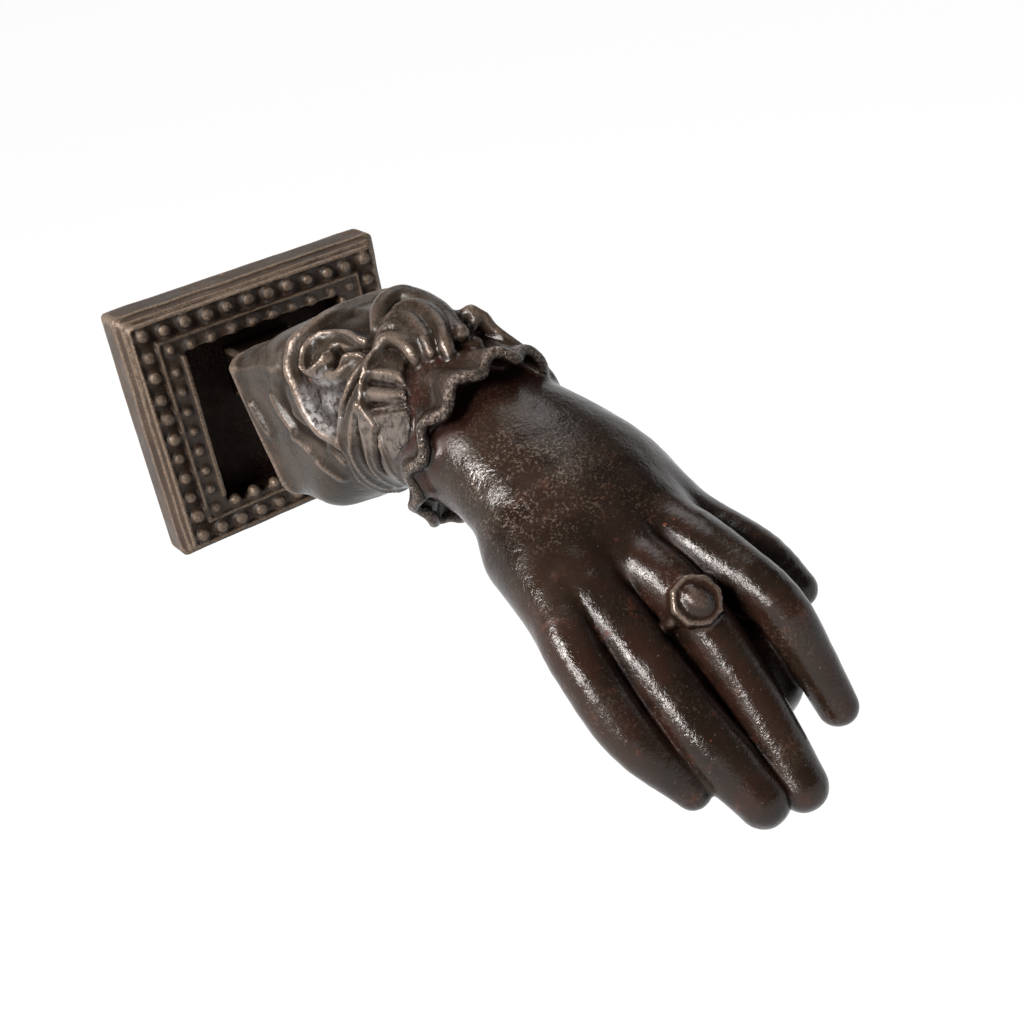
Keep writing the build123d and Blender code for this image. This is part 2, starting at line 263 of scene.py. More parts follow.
class Relief:
    """Heights over the sleeve, by station along the arm and turn round it, the same on both sides."""

    FIRST, LAST, STEP = 40.0, 99.0, 0.2  # stations
    RADIUS = 18.5  # turns count as lengths on this radius
    SMOOTH = 4  # steps between two points of a line
    NONE = 99.0  # distance before any line is measured

    def __init__(self):
        self.outs = np.arange(self.FIRST, self.LAST, self.STEP)
        self.turns = np.arange(90.0, 271.0)
        self.x = self.outs[:, None] + 0 * self.turns[None, :]
        self.y = np.radians(self.turns)[None, :] * self.RADIUS + 0 * self.x
        self.height = np.zeros_like(self.x)

    def flat(self, points):
        """Stations and lengths round the sleeve, from stations and turns."""
        return [(out, math.radians(turn) * self.RADIUS) for out, turn in points]

    def gap(self, points):
        """Distance to a smooth line."""
        rows = smooth_line(self.flat(points), self.SMOOTH)
        best = np.full_like(self.x, self.NONE)
        for (ax, ay), (bx, by) in zip(rows, rows[1:]):
            dx, dy = bx - ax, by - ay
            t = np.clip(((self.x - ax) * dx + (self.y - ay) * dy) / max(dx * dx + dy * dy, 1e-9), 0, 1)
            best = np.minimum(best, np.hypot(self.x - ax - t * dx, self.y - ay - t * dy))
        return best

    def ridge(self, points, width, height):
        """Rounded ridge, or a groove where height is negative."""
        share = np.clip(1 - self.gap(points) / width, 0, 1)
        self.height += height * share * share * (3 - 2 * share)

    def panel(self, points, height, edge=0.6):
        """Raised or sunk area inside a closed outline."""
        self.height += height * np.clip(0.5 - self.inside(points) / edge, 0, 1)

    def step_down(self, stations, turns, depth, width):
        """Lowers all that lies beyond a line of stations given at turns."""
        line = np.interp(self.turns, turns, stations)[None, :]
        self.height -= depth * np.clip((self.x - line) / width, 0, 1)

    def inside(self, points):
        """Distance to a closed outline, negative inside it."""
        closed = list(points) + [points[0]]
        best = self.gap(closed)
        rows = smooth_line(self.flat(closed), self.SMOOTH)
        odd = np.zeros(self.x.shape, bool)
        for (ax, ay), (bx, by) in zip(rows, rows[1:]):
            dx, dy = bx - ax, by - ay
            crosses = (ay > self.y) != (by > self.y)
            odd ^= crosses & (self.x < ax + (self.y - ay) / (dy if abs(dy) > 1e-9 else 1e-9) * dx)
        return np.where(odd, -best, best)

    def read(self, out, turn):
        """Heights at stations and turns, between the stored ones."""
        turn = np.abs((turn - 90 + 180) % 360 - 180) + 0.0
        u = np.clip((out - self.FIRST) / self.STEP, 0, len(self.outs) - 1.001)
        v = np.clip(turn, 0, len(self.turns) - 1.001)
        i = u.astype(int)
        j = v.astype(int)
        fu = (u - i).astype(np.float32)
        fv = (v - j).astype(np.float32)
        h = self.height.astype(np.float32)
        low = h[i, j] * (1 - fv) + h[i, j + 1] * fv
        high = h[i + 1, j] * (1 - fv) + h[i + 1, j + 1] * fv
        return low * (1 - fu) + high * fu


def between(base, share, read):
    """Values between the eight grid corners at base, where read gives a corner's values."""
    total = 0
    for n in range(8):
        corner = [(n >> k) & 1 for k in range(3)]
        weight = 1
        for k in range(3):
            weight = weight * (share[:, k] if corner[k] else 1 - share[:, k])
        total = total + weight * read(base + corner)
    return total


class Lumps:
    """Smooth random field in space, seeded, with values of about -1 to 1."""

    COUNT = 32  # values along each axis before they repeat

    def __init__(self, seed, scale):
        self.scale = scale
        self.values = np.random.default_rng(seed).uniform(-1, 1, (self.COUNT,) * 3).astype(np.float32)

    def read(self, points):
        p = points / self.scale + 512
        base = np.floor(p).astype(int)
        f = p - base
        f = f * f * (3 - 2 * f)
        return between(base, f, lambda at: self.values[tuple((at % self.COUNT).T)])


# Meshing
def along(axis, first, last):
    """Slices that keep one stretch of one axis."""
    cuts = [slice(None)] * 3
    cuts[axis] = slice(first, last)
    return tuple(cuts)


def surface(clay):
    """Vertices and four-sided faces of the zero level, one vertex in each cell that it crosses."""
    field = clay.field
    inside = field < 0
    corners = [(i, j, k) for i in (0, 1) for j in (0, 1) for k in (0, 1)]
    size = [n - 1 for n in field.shape]
    part = lambda grid, c: grid[c[0]:c[0] + size[0], c[1]:c[1] + size[1], c[2]:c[2] + size[2]]
    count = sum(part(inside, c).astype(np.int8) for c in corners)
    cells = np.argwhere((count > 0) & (count < 8))
    number = np.full(size, -1, np.int32)
    number[tuple(cells.T)] = np.arange(len(cells))
    total = np.zeros((len(cells), 3))
    hits = np.zeros(len(cells))
    for axis in range(3):
        for c in corners:
            if c[axis]:
                continue
            a = field[tuple((cells + c).T)]
            step = np.array(c)
            step[axis] = 1
            b = field[tuple((cells + step).T)]
            crossed = (a < 0) != (b < 0)
            share = np.where(crossed, a / np.where(crossed, a - b, 1), 0)
            spot = np.tile(np.array(c, float), (len(cells), 1))
            spot[:, axis] = share
            total += spot * crossed[:, None]
            hits += crossed
    origin = clay.origin()
    verts = origin + clay.cell * (cells + total / hits[:, None])
    faces = []
    for axis in range(3):
        one, two = [i for i in range(3) if i != axis]
        first, second = inside[along(axis, None, -1)], inside[along(axis, 1, None)]
        edges = np.argwhere(first != second)
        across = edges[:, [one, two]]
        good = np.all(across > 0, axis=1) & np.all(across < np.array(size)[[one, two]], axis=1)
        edges = edges[good]
        ring = []
        for da, db in ((0, 0), (1, 0), (1, 1), (0, 1)):
            cell = edges.copy()
            cell[:, one] -= da
            cell[:, two] -= db
            ring.append(number[tuple(cell.T)])
        ring = np.stack(ring, 1)
        flip = first[tuple(edges.T)] ^ (axis == 1)
        ring[~flip] = ring[~flip][:, ::-1]
        faces.append(ring)
    return verts, np.vstack(faces).tolist()


def blurred(field, cells):
    """Box blur along each axis, done twice."""
    out = field.astype(np.float32)
    for _ in range(2):
        for axis in range(3):
            padded = np.concatenate([np.repeat(np.take(out, [0], axis), cells + 1, axis), out,
                                     np.repeat(np.take(out, [-1], axis), cells, axis)], axis)
            total = np.cumsum(padded, axis, dtype=np.float64)
            width = 2 * cells + 1
            total = total[along(axis, width, None)] - total[along(axis, None, -width)]
            out = (total / width).astype(np.float32)
    return out


def sample(clay, grid, points):
    """Values of a grid at points in millimetres."""
    origin = clay.origin()
    p = np.clip((points - origin) / clay.cell, 0, np.array(grid.shape) - 1.001)
    base = p.astype(int)
    return between(base, p - base, lambda at: grid[tuple(at.T)])


def mesh_object(name, verts, faces, body, slot, replaced):
    """Smooth-shaded mesh in metres that rides on a body in place of its CAD node."""
    mesh = bpy.data.meshes.new(name)
    mesh.from_pydata((np.array(verts) * MM).tolist(), [], faces)
    mesh.validate()
    mesh.polygons.foreach_set("use_smooth", [True] * len(mesh.polygons))
    piece = bpy.data.objects.new(name, mesh)
    bpy.context.scene.collection.objects.link(piece)
    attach(piece, body)
    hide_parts(replaced)
    return piece


def thin_out(piece):
    """Fewer triangles where the surface is flat, if there are too many."""
    triangles = 2 * len(piece.data.polygons)
    if triangles <= MOST_TRIANGLES:
        return
    change = piece.modifiers.new("thin_out", "DECIMATE")
    change.ratio = MOST_TRIANGLES / triangles
    made = bpy.data.meshes.new_from_object(piece.evaluated_get(bpy.context.evaluated_depsgraph_get()))
    piece.modifiers.clear()
    piece.data = made
    made.polygons.foreach_set("use_smooth", [True] * len(made.polygons))


def points_of(mesh):
    flat = np.empty(3 * len(mesh.vertices))
    mesh.vertices.foreach_get("co", flat)
    return flat.reshape(-1, 3) / MM


REACHES = (("edge", 0.9), ("form", 2.6))  # reach of each comparison, in millimetres


def weather(piece, clay):
    """Stores how much each point stands out or lies in a hollow, for the wear, the darkening in hollows and
    the painted shade in the frill's hollows.
    """
    points = points_of(piece.data)
    for name, reach in REACHES:
        cells = max(1, round(reach / clay.cell))
        soft = blurred(np.clip(clay.field, -FAR, FAR), cells)
        value = sample(clay, soft, points) - sample(clay, clay.field, points)
        stored = piece.data.attributes.new(name, "FLOAT", "POINT")
        stored.data.foreach_set("value", (value / reach).astype(np.float32))


def rough_up(piece, amounts, seed, room):
    """Casting lumps: moves each point along its normal by smooth random amounts, inside a box."""
    mesh = piece.data
    points = points_of(mesh)
    normals = np.empty(3 * len(mesh.vertices))
    mesh.vertex_normals.foreach_get("vector", normals)
    normals = normals.reshape(-1, 3)
    shift = np.zeros(len(points))
    for n, (scale, amount) in enumerate(amounts):
        shift += amount * Lumps(seed + n, scale).read(points)
    points = np.clip(points + normals * shift[:, None], *room)
    mesh.vertices.foreach_set("co", (points * MM).ravel())
    mesh.update()


def finish_casting(piece, clay, lumps, seed, room):
    thin_out(piece)
    rough_up(piece, lumps, seed, room)
    weather(piece, clay)


# Sizes shared with the frame
hinge = [c / MM for c in frame["joints"][0]["pos_m"]]
plate_low, plate_high = [np.array(c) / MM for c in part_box("back_plate")]
arm_low, arm_high = [np.array(c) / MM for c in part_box("hand_arm")]
FLOOR = -150.0  # a knocker hangs on a door: the floor is clear of the hand at its lower limit

# Sleeve: relief of drapes, scroll, pleats and leaves
sleeve = Tube([
    (42, 8.35, 27.5, 0, 21.2, 16.6, 16.6, 9),
    (46, 9.3, 25, 0, 19.6, 16.2, 17.4, 7),
    (51, 10.6, 21, 0, 19.1, 17.8, 19.4, 5.5),
    (57, 11.4, 15, 0, 19.3, 19.8, 19.6, 4.6),
    (63, 12.6, 10, 0, 19.1, 20.2, 18.6, 3.2),
    (69, 13.9, 6, 0, 18.4, 19.7, 17.3, 2.3),
    (75, 15.1, 3, 0, 17.3, 18.3, 16.2, 2),
    (82, 15.8, -1, 0, 15.9, 16.2, 14.8, 2),
    (88, 15.3, -10, 0.3, 15.2, 15.4, 14.6, 2),
    (94, 14.2, -21, 0.8, 15.4, 16, 15.4, 2),
    (97, 13.4, -26, 1, 15.6, 16.4, 16, 2),
])
CUFF_TURNS = (90, 118, 126, 134, 142, 148, 155, 163, 174, 184, 200, 230, 270)
CUFF_OUTS = (85, 85.8, 87.3, 89.3, 91.3, 93.2, 94.5, 94.8, 93.7, 92.5, 91.5, 90.5, 90)
relief = Relief()
ridge, panel = relief.ridge, relief.panel
# Crescent band behind the scroll, the hollows beside it and the soft groove outside it
panel([(65.3, 147), (68, 150), (72.2, 149), (75.5, 146), (76.8, 150), (76, 162), (75.3, 172), (73.5, 178),
       (70.2, 174), (67.3, 168), (65.8, 160)], -1.3, 2.4)
panel([(64.8, 104), (64.5, 122), (63.8, 132), (64.2, 141), (65.3, 147), (66.3, 144), (65.7, 138),
       (65.3, 130), (66.3, 124), (70.3, 118), (76, 112), (76, 100), (66, 98)], -1, 1.6)
ridge([(62.6, 92), (62.8, 100), (63.5, 114), (63.2, 124), (62.2, 133), (62, 140), (63.2, 148),
       (64.5, 153), (65.5, 161), (66.7, 168), (69.2, 176), (72.2, 181), (74.8, 185)], 2.3, 1.5)
ridge([(60.8, 138), (60.3, 146), (58.3, 155), (58.7, 165), (60.7, 175), (65, 181), (69.8, 189),
       (73.8, 196)], 2.6, -0.8)
ridge([(62, 168), (65, 175), (69, 183), (73, 189)], 1.8, 0.5)
# Scroll: raised body, thin rim, teardrop, hole and slit
panel([(77.8, 118), (72.7, 118), (67.8, 122), (65.7, 132), (66, 143), (68.8, 148), (74.2, 146),
       (77.2, 136), (79, 127)], 0.9, 1)
ridge([(77.8, 118), (75.7, 120), (72.7, 118), (70, 118), (67.8, 122), (66.3, 126), (65.7, 132), (65.8, 138),
       (66.7, 143), (68, 146), (69.3, 145), (70.3, 142), (71.2, 138), (71.3, 135)], 1.05, 1.3)
ridge([(67.4, 133), (66.9, 138), (67.9, 143)], 1, -1.3)
ridge([(68.5, 127), (71, 123.5), (75, 123)], 1.5, -0.5)
ridge([(72.4, 130.5), (73, 134), (73.2, 138.5)], 1.5, -2.8)
ridge([(73.7, 130), (76, 127), (78.2, 124), (79, 120)], 0.8, -1.6)
ridge([(68.8, 148), (71.3, 148), (74.2, 146), (76, 140), (77.2, 136)], 0.9, 0.5)
ridge([(75.3, 133), (76.5, 130), (79, 128)], 0.7, 0.8)
# Sash from the knot round the side, with its slit, forked folds and dark sliver
panel([(80.8, 119), (79.8, 131), (78.2, 148), (76.5, 164), (75.8, 180), (74.8, 203), (71.5, 226), (69, 262),
       (74, 268), (84, 262), (87.5, 226), (90, 200), (89.3, 180), (86.7, 165), (83.2, 154), (81.6, 137),
       (81.4, 120)], 0.8, 0.7)
ridge([(80.4, 119), (79.6, 131), (78.8, 138), (77.8, 148), (77, 156), (76.2, 164), (75.6, 172), (75.6, 180),
       (75.5, 190), (74.6, 203), (72.6, 218), (70.5, 233), (69, 258)], 1, 0.8)
ridge([(80.4, 137), (79.5, 145), (78.9, 152), (78, 161), (77.4, 168)], 0.75, -1.9)
ridge([(81, 118), (80.9, 128), (81.2, 137), (81.8, 145), (82.8, 154), (84.3, 161), (86.2, 165),
       (87.9, 172), (89, 180), (90, 190), (90, 215), (86, 250)], 0.9, 0.7)
ridge([(82.2, 156), (81.5, 164), (80.8, 172), (79.7, 182), (78.5, 192), (76.5, 214), (74, 240)], 1.15, 0.9)
ridge([(82.6, 157), (83.3, 166), (83.9, 173), (84.3, 182), (83.6, 191), (81.5, 212), (78.5, 240)],
       1.05, 0.8)
ridge([(82.4, 164), (82, 174), (81.7, 184), (80.9, 196), (78.8, 220)], 0.8, -0.8)
ridge([(86, 168), (85.9, 177), (85.4, 187), (83.6, 208)], 0.7, 0.5)
ridge([(87.1, 168), (87.4, 177), (86.9, 188), (84.7, 210)], 0.8, -1.7)
# Pleats of the cuff, its plain end panel and the step down to the frill
for points, width, height in (
        (((82.3, 134), (84.8, 130), (87.5, 128)), 1.8, 0.9),
        (((82.6, 141), (85.8, 137), (89, 132)), 1.0, -1.3),
        (((83.3, 148), (86.5, 144), (90, 138)), 1.9, 0.9),
        (((84.3, 154.5), (87.3, 148.5), (90.4, 141)), 0.8, -1.2),
        (((85.3, 156.5), (88.2, 150), (91, 142.5)), 0.6, 0.6),
        (((85.6, 158), (88.4, 152), (91.4, 144.5)), 0.55, -1.1),
        (((85.8, 160.5), (88.7, 154.5), (91.8, 147)), 0.9, 0.6)):
    ridge(points, width, height)
panel([(86.4, 161), (91.8, 147), (94, 150), (96, 158), (95, 170), (92, 184), (89.8, 177), (88.4, 168)],
       0.5, 0.5)
relief.step_down(CUFF_OUTS, CUFF_TURNS, 2.6, 0.5)
# Leaves on the foot
for points in (
        ((44.6, 162), (45.2, 173), (46.2, 184)), ((54.7, 160), (55.8, 168), (58.5, 177)),
        ((58, 183), (60.8, 186), (63.4, 191)), ((65, 198), (67, 206), (68, 214)),
        ((70, 190), (71.7, 196), (72.9, 203))):
    ridge(points, 1.7, 1.0)
ridge([(43, 139.5), (48.8, 142), (54, 144), (58.5, 147)], 1.6, 0.6)

# Frill: a cone of cloth from the cuff to a wavy rim that leans with the wrist
RIM_AT = np.array([0.45, -97.3, 12.6])
RIM_LEAN = math.radians(-24)
RIM_TWIST = math.radians(4)
RIM_ROUND, RIM_TALL = 16.55, 1.233
WAVES = 12
WAVE_AT, SWELL_AT = 3.16, 1.18  # phases of the edge's waves along and across the arm
rim_axis = np.array([math.sin(RIM_TWIST) * math.cos(RIM_LEAN), -math.cos(RIM_TWIST) * math.cos(RIM_LEAN),
                     math.sin(RIM_LEAN)])
rim_side = np.array([math.cos(RIM_TWIST), math.sin(RIM_TWIST), 0])
rim_up = np.cross(rim_axis, rim_side)


def rim_point(turn):
    """Point of the frill's wavy edge at a turn in radians from +X up over the top."""
    below = math.exp(-(((math.degrees(turn) - 262) / 40) ** 2))  # calmer and closer under the wrist
    wave = (1 - 0.6 * below) * math.cos(WAVES * turn + WAVE_AT)
    reach = RIM_ROUND - 1.2 * below + 0.5 * math.cos(WAVES * turn + SWELL_AT)
    return (RIM_AT + reach * math.cos(turn) * rim_side + reach * RIM_TALL * math.sin(turn) * rim_up
            + 1.15 * wave * rim_axis)


def make_frill(clay):
    """Cloth from the cuff to the thicker wavy edge."""
    cloth = clay.blank()
    edge = []
    count = 240
    for n in range(count + 1):
        turn = math.tau * n / count
        degrees = math.degrees(turn)
        rim = rim_point(turn)
        cuff = float(np.interp(abs((degrees - 90 + 180) % 360 - 180) + 90, CUFF_TURNS, CUFF_OUTS))
        deep = 1.0 + 1.4 * math.exp(-(((degrees - 126) / 14) ** 2))  # beside the knot
        neck = np.array(sleeve.point(cuff - 1.2, degrees, -1.6 - deep))
        length = float(np.linalg.norm(rim - neck))
        ripple = math.cos(WAVES * turn + WAVE_AT)
        outward = math.cos(turn) * rim_side + math.sin(turn) * rim_up
        rows = []
        for share in (0, 0.3, 0.65, 1):
            sink = -min(1.6, 0.16 * length) * math.sin(math.pi * share) + 0.5 * ripple * share * (1 - share)
            rows.append([*(neck + (rim - neck) * share + outward * sink), 1.3 - 0.4 * share])
        if n < count:
            cloth.strand(rows, steps=1)
        edge.append([*(rim - 0.3 * outward), 1.0 + rng.uniform(-0.12, 0.22)])
    for piece in range(0, count, 8):
        cloth.strand(edge[piece:piece + 9], steps=1)
    clay.field = smooth_min(clay.field, cloth.field, 0.6)


# Hand
palm = Tube([
    (82, 15.8, -4, 1.2, 13.6, 12.3, 12.3, 2),
    (90, 14.6, -12, 1.3, 16, 14.8, 14, 2),
    (100, 12.6, -15, 2.2, 16.4, 13.3, 13.2, 2),
    (109.2, 9.9, -18, 3.9, 17.9, 12.4, 11.6, 2),
    (118, 6.2, -24, 4.6, 19.4, 11.8, 11, 2),
    (126, 2.3, -27, 3.3, 19.9, 10.8, 10.4, 2),
    (133, -1.4, -29, 1.9, 19.5, 8.2, 9.6, 2),
    (140, -5.4, -32, 0.5, 18.5, 4.8, 8, 2),
    (146, -9.2, -34, -0.5, 17, 1.5, 5.5, 2),
])
FINGERS = {
    "little": [(-10.2, -122, 2, 6), (-13.4, -134, -0.4, 5.3), (-17, -143.5, -5.4, 4.8),
        (-16.6, -154, -15.3, 4.4), (-12.3, -162.4, -24.2, 3.2)],
    "third": [(-8.5, -126, 1.5, 6.2), (-8.6, -137, -0.6, 6), (-7.9, -146.5, -6.9, 5.6),
        (-7.1, -160.5, -18, 5.3), (-5.2, -170.5, -26, 4.3)],
    "middle": [(1, -128, 2.2, 6), (1.9, -139, 0.8, 5.6), (2.6, -149.4, -3.6, 5.1), (2.7, -161.7, -15, 4.5),
        (1.6, -172.4, -26, 4.1)],
    "index": [(10, -126, 3.2, 6.2), (11.6, -137, 2, 6), (12.5, -146.5, -0.4, 5.5),
        (13.7, -157.2, -4.4, 4.5), (14.8, -163, -13, 4), (15.4, -167.8, -20.6, 3.5)],
    "thumb": [(13.5, -112, 2, 8), (17.6, -125, -0.4, 6.8), (20.7, -137.5, -2.6, 5.4),
        (23.3, -144.8, -5.2, 4.5), (25.1, -150.8, -9.9, 3.4)],
}
# Iron between the fingers and the ball, with its blend
WEBS = (
    ([(9, -138, -5.5, 5.7), (11, -146, -9, 5.5), (10.6, -152, -13.5, 5.2)], 1.5),
    ([(-3, -138, -5.5, 5.5), (-3, -148, -11, 4.5), (-2, -158, -19, 3.5)], 1),
)
MELT = ((120, 136, 148), (6.0, 4.0, 1.0))  # stations and blend between palm and fingers
PALM_BOX = ((-26, -150, -20), (30, -78, 32))
FINGER_BOX = ((-26, -178, -33), (30, -100, 20))
BALL = (9.5, -152.5, -18.5)
BALL_ROUND = 10.2


def make_hand(clay):
    """Palm, fingers and ball, melted together most at the knuckles."""
    clay.add(*PALM_BOX, palm.shape(), 2.5)
    fingers = clay.blank()
    for rows in FINGERS.values():
        fingers.strand(rows, blend=0.7, steps=4)
    fingers.egg(BALL, (BALL_ROUND,) * 3, 0.8)
    for rows, blend in WEBS:
        fingers.strand(rows, blend=blend)
    cut, (x, y, z) = clay.window(*FINGER_BOX)
    blend = np.interp(-y, *MELT).astype(np.float32) + 0 * x + 0 * z
    clay.field[cut] = rounded(clay.field[cut], fingers.field[cut], blend)


RING_AT = np.array([2.4, -148.9, -3.3])
RING_TURN = (42, -22, 0)
BAND_ROUND = 5.3
SEAT_LIFT, SEAT_REACH, SEAT_HALF = 4.7, 4.15, 1.7
SEAT_EDGE = 3.85


def make_ring(clay):
    """Band with an eight-sided setting and an oval stone on the middle finger."""
    m = rotation(RING_TURN)
    side, along, normal = m[:, 0], -m[:, 1], m[:, 2]
    band = []
    for n in range(33):
        turn = math.tau * n / 32
        sag = 0.9 * math.sin(turn)
        spot = RING_AT + BAND_ROUND * math.cos(turn) * side + BAND_ROUND * math.sin(turn) * normal
        band.append([*(spot - (1.0 - sag) * along), 1.05])
    clay.strand(band, blend=0.5, steps=1)
    seat = RING_AT + SEAT_LIFT * normal
    clay.add(seat - 9, seat + 9, octagon_shape(seat, SEAT_REACH, SEAT_HALF), 0.5)
    edge = [[*(seat + 1.5 * normal + SEAT_EDGE * math.cos(t) * side + SEAT_EDGE * math.sin(t) * along),
             0.5 + rng.uniform(-0.1, 0.1)] for t in np.radians(np.arange(22.5, 400, 45))]
    clay.strand(edge, blend=0.3, steps=1)
    clay.egg(seat + 1.2 * normal, (2.3, 3.0, 1.9), 0.3, turn=RING_TURN)


def octagon_shape(centre, reach, half):
    def shape(x, y, z):
        u, v, w = local(x, y, z, centre, RING_TURN)
        sides = [np.abs(u * math.cos(t) + v * math.sin(t)) for t in np.radians((0, 45, 90, 135))]
        wall = np.maximum(np.maximum(sides[0], sides[1]), np.maximum(sides[2], sides[3])) - reach
        return np.maximum(wall, np.abs(w) - half)
    return shape


# Knot of gathered cloth on top of the sleeve, as stations, turns, lifts and radii
ROLLS = (
    ((80.7, 118, 0.4, 1.3), (81, 113, 1, 1.5), (82.3, 109, 1.4, 1.6), (84.5, 108, 1.5, 1.7),
     (86.4, 110, 1, 1.6), (87.2, 112, 0, 1.3)),
    ((79.5, 114, 0.2, 1.2), (79.8, 106, 1.4, 1.4), (81.3, 100, 1.9, 1.5), (83.7, 100, 2, 1.5),
     (86, 103, 1.5, 1.5), (87.4, 107, 0.4, 1.2)),
    ((79.3, 107, 0.4, 1.2), (79, 99, 1.9, 1.5), (80.7, 94, 2.6, 1.6), (83.7, 95, 2.8, 1.6),
     (86.8, 99, 2.1, 1.6), (88.6, 103, 0.7, 1.3)),
    ((78.6, 98, 0.8, 1.6), (78.8, 92, 2.2, 1.9), (80.3, 86, 3, 2.1), (83.5, 85, 3.3, 2.1),
     (86.8, 88, 2.9, 2), (89.4, 94, 1.6, 1.7), (90.6, 97, 0.3, 1.3)),
    ((77, 107, 0, 1.8), (74.7, 97, 1.3, 2.1), (73.7, 88, 2.1, 2.3), (74, 80, 2.4, 2.3),
     (77, 76, 2.6, 2.3), (80.2, 75, 2.8, 2.3), (84, 77, 3, 2.2), (89, 82, 2.2, 1.9)),
    ((76, 62, -1, 2.4), (79, 66, 0, 2.8), (84, 70, 0.4, 2.6), (90, 74, 0.2, 1.8)),
)
LOBE_RIDGE = ((1.8, -85.3, 33.4), (3.4, -86.3, 34), (6.3, -88.1, 34), (8, -89.1, 34.2),
              (9.5, -90.7, 33), (9.8, -91.6, 31.7), (10.7, -93.4, 29.8), (11.6, -95, 28.3),
              (12.4, -96.6, 26.8))
LOBE_FOOT = ((1.6, -88, 29.6), (2.8, -89.1, 29.6), (4.4, -90.9, 28.3), (6.2, -92.7, 27.3),
             (7.3, -93.6, 27.2), (8.4, -94.8, 27), (9.6, -96.2, 26.4), (10.8, -97.4, 25.8),
             (12, -98.6, 25))
LOBE_FOLD = ((8, -89.1, 34.4, 0.9), (7.9, -90.6, 33, 0.8), (6.6, -90.6, 31.8, 0.8),
             (4.2, -89.2, 31.4, 0.7), (2.8, -88.4, 31, 0.6))
LOBE_HOLLOW, LOBE_END = 2.6, 0.86  # its depth, and where along the lobe it ends
AWAY = np.array([0.465, 0.752, -0.467])  # into the pocket
SLEEVE_BOX = ((-26, -100, -16), (26, -32, 40))


def make_sleeve(clay):
    """Sleeve with its relief, the knot's rolls and the hollow lobe beside the knot."""
    clay.add(*SLEEVE_BOX, sleeve.shape(relief), 0.6)
    for roll in ROLLS:
        rows = [[*sleeve.point(out, turn, lift), r] for out, turn, lift, r in roll]
        clay.strand(rows, blend=0.35, steps=4)
    crest = smooth_line(LOBE_RIDGE, 3)
    feet = smooth_line(LOBE_FOOT, 3)
    for n, (top, foot) in enumerate(zip(crest, feet)):
        share = n / (len(crest) - 1)
        hollow = LOBE_HOLLOW * math.sin(math.pi * min(1, share * 1.15)) ** 0.7 if share < LOBE_END else 0.3
        middle = (top + foot) / 2 + AWAY * hollow
        clay.strand([(*top, 1.0), (*middle, 1.5), (*foot, 1.3)], blend=0.5, steps=3)
    clay.strand(LOBE_FOLD, blend=1.2, steps=4)


TANG_END, TANG_HALF, TANG_BORE, EYE_ROUND = -44, 4.5, 2.6, 6.0
TANG_BOX = ((-8, -50, -4), (8, -18, 20))
EYE_BOX = ((-8, -36, -2), (8, -18, 18))


def make_tang(clay):
    """Flat tang and eye behind the foot, bored for the pin."""
    middle = (0, (hinge[1] + TANG_END) / 2, hinge[2] + 0.3)
    clay.add(*TANG_BOX, block_shape(middle, (TANG_HALF, 9.0, 5.9), 0.4))
    clay.add(*EYE_BOX, rod_shape(hinge, EYE_ROUND, TANG_HALF, 0))
    clay.carve(*EYE_BOX, rod_shape(hinge, TANG_BORE, 9, 0))


ARM_LUMPS = ((14, 0.18), (5, 0.1), (2.2, 0.05))  # scale and height


def make_arm():
    clay = Clay(arm_low - 2, arm_high + 2, CELL)
    make_sleeve(clay)
    make_frill(clay)
    make_hand(clay)
    make_ring(clay)
    make_tang(clay)
    piece = mesh_object("hand_casting", *surface(clay), "arm", "hand_iron", "hand_arm")
    finish_casting(piece, clay, ARM_LUMPS, 11, np.array(cad_box) / MM)
    return piece


# Back plate
PLATE_HALF = (33.9, 30.4)
PLATE_DEEP, PLATE_CORNER = 11.2, 1.4
SIDE_STEPS, STEP_LONG, TAPER = (7.6, 9.5), 0.6, 0.02  # each step goes 1 mm in
CHANNELS = ((3.3, 7.1, 1.5, 0.9), (8.6, 12.0, 1.1, 0.9))  # outer and inner inset, half depth, blend
CHANNEL_AT = 11.6
RECESS_HALF = (20.3, 8.8, 19.8)
BEAD_ROWS = ((5.1, 1.9, 0.7), (10.2, 1.45, 1.0))  # inset, radius, blend
BEAD_PITCH, BEAD_AT, BEAD_TALL = 5.15, -9.9, 1.7
EAR_OUT, EAR_IN = 8.85, 4.85
PIN_BORE, STUD_BORE = 2.52, 3.32
PLATE_LUMPS = ((20, 0.25), (7, 0.12), (2.5, 0.05))


def plate_shape(x, y, z):
    """Slab with stepped edges; deep is the distance out of the door."""
    deep = -y
    shrink = sum(np.clip((deep - step) / STEP_LONG, 0, 1) for step in SIDE_STEPS) + TAPER * deep
    gap_x = np.abs(x) - (PLATE_HALF[0] - shrink)
    gap_z = np.abs(z) - (PLATE_HALF[1] - shrink)
    outside = np.hypot(np.maximum(gap_x + PLATE_CORNER, 0), np.maximum(gap_z + PLATE_CORNER, 0))
    wall = outside + np.minimum(np.maximum(gap_x, gap_z) + PLATE_CORNER, 0) - PLATE_CORNER
    return smooth_max(wall, np.maximum(deep - PLATE_DEEP, -deep), 0.8)


def frame_shape(outer, inner, deep):
    """Square ring sunk into the plate's face."""
    def shape(x, y, z):
        reach = np.maximum(np.abs(x) - PLATE_HALF[0], np.abs(z) - PLATE_HALF[1])
        return np.maximum(np.maximum(reach + outer, -reach - inner), np.abs(y + CHANNEL_AT) - deep) - 0.1
    return shape


